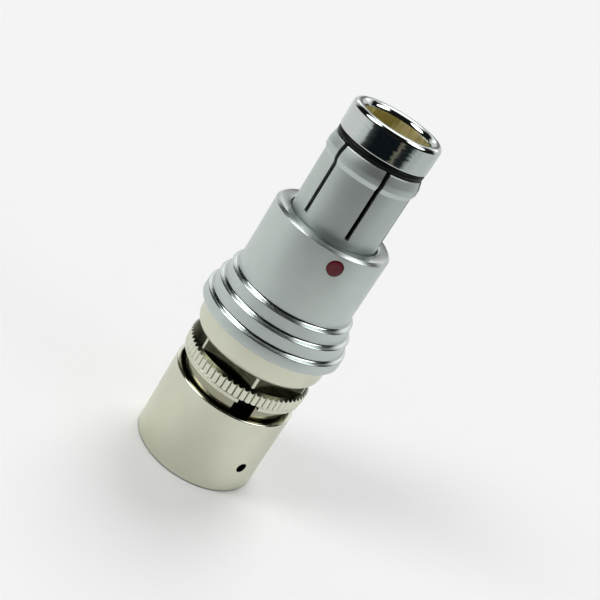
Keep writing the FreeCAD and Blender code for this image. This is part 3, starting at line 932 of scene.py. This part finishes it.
def knurled_clamp_body():
    """Ring with straight rounded teeth, a smooth lip below them and a slotted tail.

    The teeth are cut from a thicker blank. Both cutters end within the fine groove under the teeth,
    and the blank's facets lie between the teeth's points, so that no faces or edges coincide.
    """
    root_radius = knurl_radius - knurl_depth - knurl_root_gap
    blank_radius = knurl_radius + knurl_stock
    tooth_bottom = knurl_bottom + knurl_underside
    cut_height = knurl_bottom + knurl_underside / 2
    chamfer_slope = knurl_chamfer_length / knurl_chamfer_width
    chamfer_bottom = neck_bottom - (knurl_chamfer_width + knurl_stock) * chamfer_slope
    bm = turned([
        (gland_chamber_radius, tail_bottom),
        (tail_radius, tail_bottom, edge_radius),
        (tail_radius, lip_bottom),
        (lip_radius, lip_bottom, lip_edge_radius),
        (lip_radius, knurl_bottom, lip_edge_radius),
        (root_radius, knurl_bottom),
        (root_radius, tooth_bottom),
        (blank_radius, tooth_bottom),
        (blank_radius, chamfer_bottom),
        (knurl_radius - knurl_chamfer_width, neck_bottom),
        (thread_seat_radius, neck_bottom),
        (thread_seat_radius, thread_bottom),
        (gland_chamber_radius, thread_bottom),
    ], steps=knurl_count * tooth_points // 2)
    stagger = Matrix.Rotation(math.pi / knurl_count / tooth_points, 3, "Z")
    bmesh.ops.rotate(bm, verts=bm.verts, cent=(0, 0, 0), matrix=stagger)
    bm = combine(bm, knurl_cutter(cut_height), "DIFFERENCE")
    slots = bmesh.new()
    for index in range(tail_slot_count):
        turn = Matrix.Rotation(math.radians(tail_slot_turn + index * 360 / tail_slot_count), 4, "Z")
        outside = knurl_radius + tail_slot_overcut
        low = tail_bottom - tail_slot_overcut
        middle = Vector((outside - tail_slot_cut_length / 2, 0, (low + cut_height) / 2)) * mm
        size = Vector((tail_slot_cut_length, tail_slot_width, cut_height - low)) * mm
        bmesh.ops.create_cube(slots, size=1, matrix=turn @ Matrix.LocRotScale(middle, None, size))
    bm = combine(bm, slots, "DIFFERENCE")

    def choose(face):
        height = face_height(face)
        # The tail inside the rear sleeve's mouth is painted darker as shade
        if height < lip_bottom + near:
            return "dull_nickel"
        if height < tooth_bottom + near:
            return "satin_nickel"
        # The teeth's front chamfer is painted near black as shade, which also dims its highlight
        on_front = height > neck_bottom - knurl_chamfer_length and tilt(face) > chamfer_tilt
        return "painted_shade_nickel" if on_front else "knurled_nickel"

    finish_piece(bm, "knurled_clamp_body", "clamp_body",
                 ["satin_nickel", "knurled_nickel", "dull_nickel", "painted_shade_nickel"], choose)


def plated_rear_sleeve():
    """Smooth back nut with a cable outlet, an open mouth round the clamp and one spanner hole."""
    boss_radius = outlet_radius + boss_wall
    mouth_bottom = mouth_height - mouth_depth
    bm = turned([
        (outlet_radius, 0, edge_radius),
        (back_nut_radius, 0, edge_radius),
        (back_nut_radius, mouth_height, edge_radius),
        (mouth_radius, mouth_height, edge_radius),
        (mouth_radius, mouth_bottom),
        (tail_seat_radius, mouth_bottom - mouth_taper),
        (tail_seat_radius, rear_wall),
        (boss_radius, rear_wall),
        (boss_radius, boss_top),
        (outlet_radius, boss_top),
    ])
    hole = bmesh.new()
    radial_cylinder(hole, spanner_hole_radius, back_nut_radius - spanner_hole_depth, skirt_radius,
                    spanner_hole_height, spanner_hole_turn)
    bm = combine(bm, hole, "DIFFERENCE")

    def choose(face):
        # The foot's rounding is painted near black as the contact shadow, and the spanner hole, outlet and
        # other inner faces as shade
        if face_height(face) < foot_shade_height:
            return "painted_shade_nickel"
        inner_or_sloping = face_radius(face) < mouth_radius + near or abs(tilt(face)) > angle_slack
        if face_height(face) > mouth_bottom - mouth_taper and inner_or_sloping:
            return "bright_nickel"
        return "satin_nickel" if face_radius(face) > back_nut_radius - near else "painted_shade_nickel"

    finish_piece(bm, "plated_rear_sleeve", "rear_sleeve",
                 ["satin_nickel", "bright_nickel", "painted_shade_nickel"], choose)


def flat_wire_return_spring():
    """Flat-wire coil, as its solid has it, on its own copy of the mesh."""
    name = "return_spring"
    bm = bmesh.new()
    bm.from_mesh(nodes[name].data)
    bmesh.ops.remove_doubles(bm, verts=bm.verts, dist=copied_merge * mm)
    piece = finish_piece(bm, "flat_wire_return_spring", name, ["spring_steel"])
    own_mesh(piece)


def finish_inner_pieces(made):
    """Inner pieces keep their solids' shape, with merged points, even shading and their own finish."""
    for name, node in nodes.items():
        if name in made:
            continue
        finish = node.data.materials[0].name.split(".")[0]
        bm = bmesh.new()
        bm.from_mesh(node.data)
        bmesh.ops.remove_doubles(bm, verts=bm.verts, dist=copied_merge * mm)
        bmesh.ops.dissolve_limit(bm, angle_limit=math.radians(flat_angle), verts=bm.verts, edges=bm.edges)
        finish_piece(bm, name + "_finished", name, [finish])


def stage_mesh(name, bm, material):
    """Mesh of the studio, which isn't part of the plug."""
    mesh = bpy.data.meshes.new(name)
    bm.to_mesh(mesh)
    bm.free()
    mesh.materials.append(material)
    holder = bpy.data.objects.new(name, mesh)
    bpy.context.scene.collection.objects.link(holder)
    return holder


def paper_floor():
    """Wide matt white floor, which takes the plug's shadow."""
    bm = bmesh.new()
    bmesh.ops.create_circle(bm, cap_ends=True, segments=circle_steps, radius=floor_radius * mm)
    material, _, shader = new_material("white_paper", paper_colour, 0.0, 1.0)
    shader.inputs["Specular IOR Level"].default_value = 0.0
    stage_mesh("paper_floor", bm, material)


def dark_table(inner, outer, colours):
    """Fan just above the floor that only shows in the plug's reflections, coloured by its turn."""
    material = bpy.data.materials.new("dark_table")
    material.use_nodes = True
    tree = material.node_tree
    tree.nodes.clear()
    shade = add_node(tree, "ShaderNodeAttribute", {"attribute_name": "shade"})
    glow = add_node(tree, "ShaderNodeEmission", None, {"Color": shade.outputs["Color"], "Strength": 1.0})
    add_node(tree, "ShaderNodeOutputMaterial", None, {"Surface": glow.outputs[0]})
    bm = bmesh.new()
    layer = bm.verts.layers.float_color.new("shade")
    pairs = []
    for turn, colour in colours:
        pair = []
        for radius in (inner, outer):
            place = direction(camera_azimuth + turn, 0) * radius + Vector((0, 0, table_height))
            pair.append(bm.verts.new(place * mm))
            pair[-1][layer] = linear(colour)
        pairs.append(pair)
    for first, second in zip(pairs, pairs[1:]):
        bm.faces.new((first[0], first[1], second[1], second[0]))
    card = stage_mesh("dark_table", bm, material)
    card.visible_camera = False
    card.visible_diffuse = False
    card.visible_shadow = False


def softbox(name, turn, elevation, light):
    """Broad soft light for the floor and the matt surfaces, which no metal mirrors."""
    lamp = bpy.data.lights.new(name, "SUN")
    lamp.energy = light
    lamp.angle = math.radians(softbox_width)
    holder = bpy.data.objects.new(name, lamp)
    bpy.context.scene.collection.objects.link(holder)
    holder.rotation_mode = "QUATERNION"
    holder.rotation_quaternion = direction(camera_azimuth + turn, elevation).to_track_quat("Z", "Y")
    holder.visible_glossy = False


def bright_patch(tree, looking, turn, elevation, width, edge, brightness):
    """Brightness of a round soft-edged patch, seen in one direction."""
    towards = add_node(tree, "ShaderNodeVectorMath", {"operation": "DOT_PRODUCT"},
                       {0: looking, 1: direction(camera_azimuth + turn, elevation)})
    patch = add_node(tree, "ShaderNodeMapRange", {"interpolation_type": "SMOOTHSTEP"},
                     {"Value": towards.outputs["Value"],
                      "From Min": math.cos(math.radians(width / 2 + edge)),
                      "From Max": math.cos(math.radians(width / 2 - edge)), "To Max": brightness})
    return patch.outputs[0]


def light_wall(tree, looking):
    """Brightness of the upright wall behind the plug, soft at its sides, foot and top."""
    behind = add_node(tree, "ShaderNodeVectorMath", {"operation": "DOT_PRODUCT"},
                      {0: looking, 1: direction(camera_azimuth + 180, 0)})
    side = math.cos(math.radians(wall_half_width))
    across = add_node(tree, "ShaderNodeMapRange", {"interpolation_type": "SMOOTHSTEP"},
                      {"Value": behind.outputs["Value"], "From Min": side - wall_side_blur,
                       "From Max": side + wall_side_blur, "To Max": wall_brightness})
    height = add_node(tree, "ShaderNodeSeparateXYZ", None, {0: looking})
    below = add_node(tree, "ShaderNodeMapRange", {"interpolation_type": "SMOOTHSTEP"},
                     {"Value": height.outputs["Z"],
                      "From Min": math.sin(math.radians(wall_top + wall_top_edge)),
                      "From Max": math.sin(math.radians(wall_top - wall_top_edge))})
    above = add_node(tree, "ShaderNodeMapRange", {"interpolation_type": "SMOOTHSTEP"},
                     {"Value": height.outputs["Z"],
                      "From Min": math.sin(math.radians(wall_bottom - wall_bottom_edge)),
                      "From Max": math.sin(math.radians(wall_bottom + wall_bottom_edge))})
    strip = add_node(tree, "ShaderNodeMath", {"operation": "MULTIPLY"},
                     {0: below.outputs[0], 1: above.outputs[0]})
    wall = add_node(tree, "ShaderNodeMath", {"operation": "MULTIPLY"},
                    {0: across.outputs[0], 1: strip.outputs[0]})
    return wall.outputs[0]


def studio_world():
    """White for the camera, even light for matt surfaces, and for metal the room that it mirrors."""
    world = bpy.data.worlds.new("studio")
    bpy.context.scene.world = world
    world.use_nodes = True
    world.cycles.sampling_method = "NONE"
    tree = world.node_tree
    tree.nodes.clear()
    coordinates = add_node(tree, "ShaderNodeTexCoord")
    looking = coordinates.outputs["Generated"]
    mirrored = [bright_patch(tree, looking, *patch) for patch in (
        left_lamp_face, right_lamp_face, left_card, right_card, overhead_lamp_face)]
    mirrored.append(light_wall(tree, looking))
    level = room_brightness
    for source in mirrored:
        level = add_node(tree, "ShaderNodeMath", {"operation": "ADD"}, {0: source, 1: level}).outputs[0]
    plain = (1.0, 1.0, 1.0, 1.0)
    room = add_node(tree, "ShaderNodeBackground", None, {"Color": plain, "Strength": level})
    ambient = add_node(tree, "ShaderNodeBackground", None, {"Color": plain, "Strength": ambient_brightness})
    white = add_node(tree, "ShaderNodeBackground", None, {"Color": linear(paper_colour), "Strength": 1.0})
    path = add_node(tree, "ShaderNodeLightPath")
    lit = add_node(tree, "ShaderNodeMixShader", None,
                   {0: path.outputs["Is Glossy Ray"], 1: ambient.outputs[0], 2: room.outputs[0]})
    clear = add_node(tree, "ShaderNodeMath", {"operation": "MAXIMUM"},
                     {0: path.outputs["Is Camera Ray"], 1: path.outputs["Is Transmission Ray"]})
    seen = add_node(tree, "ShaderNodeMixShader", None,
                    {0: clear.outputs[0], 1: lit.outputs[0], 2: white.outputs[0]})
    add_node(tree, "ShaderNodeOutputWorld", None, {"Surface": seen.outputs[0]})


def camera():
    """Camera at the photographed distance, aimed beside the plug's middle and rolled."""
    data = bpy.data.cameras.new("camera")
    data.lens = focal_length
    data.sensor_width = sensor_width
    data.clip_start = near_clip * mm
    data.clip_end = far_clip * mm
    holder = bpy.data.objects.new("camera", data)
    bpy.context.scene.collection.objects.link(holder)
    back = direction(camera_azimuth, view_elevation)
    sideways = direction(view_azimuth, 0)
    turn = (-back).to_track_quat("-Z", "Y").to_matrix()
    roll = Matrix.Rotation(math.radians(view_roll), 3, back)
    holder.rotation_mode = "QUATERNION"
    holder.rotation_quaternion = (roll @ turn).to_quaternion()
    holder.location = (Vector((0, 0, aim_height)) + sideways * aim_side + back * view_distance) * mm
    bpy.context.scene.camera = holder


chromed_front_shell()
moulded_nose_seal()
slotted_latch_sleeve()
satin_release_sleeve()
enamel_index_dot()
plated_rear_body()
knurled_clamp_body()
plated_rear_sleeve()
flat_wire_return_spring()
finish_inner_pieces(made=["front_shell", "nose_seal", "latch_sleeve", "release_sleeve", "index_dot",
                          "rear_body", "clamp_body", "rear_sleeve", "return_spring"])

paper_floor()
dark_table(table_inner_radius, table_outer_radius, table_colours)
softbox("left_softbox", *left_softbox)
softbox("right_softbox", *right_softbox)
softbox("overhead_softbox", *overhead_softbox)
studio_world()
camera()
bpy.context.scene.view_settings.view_transform = "Standard"
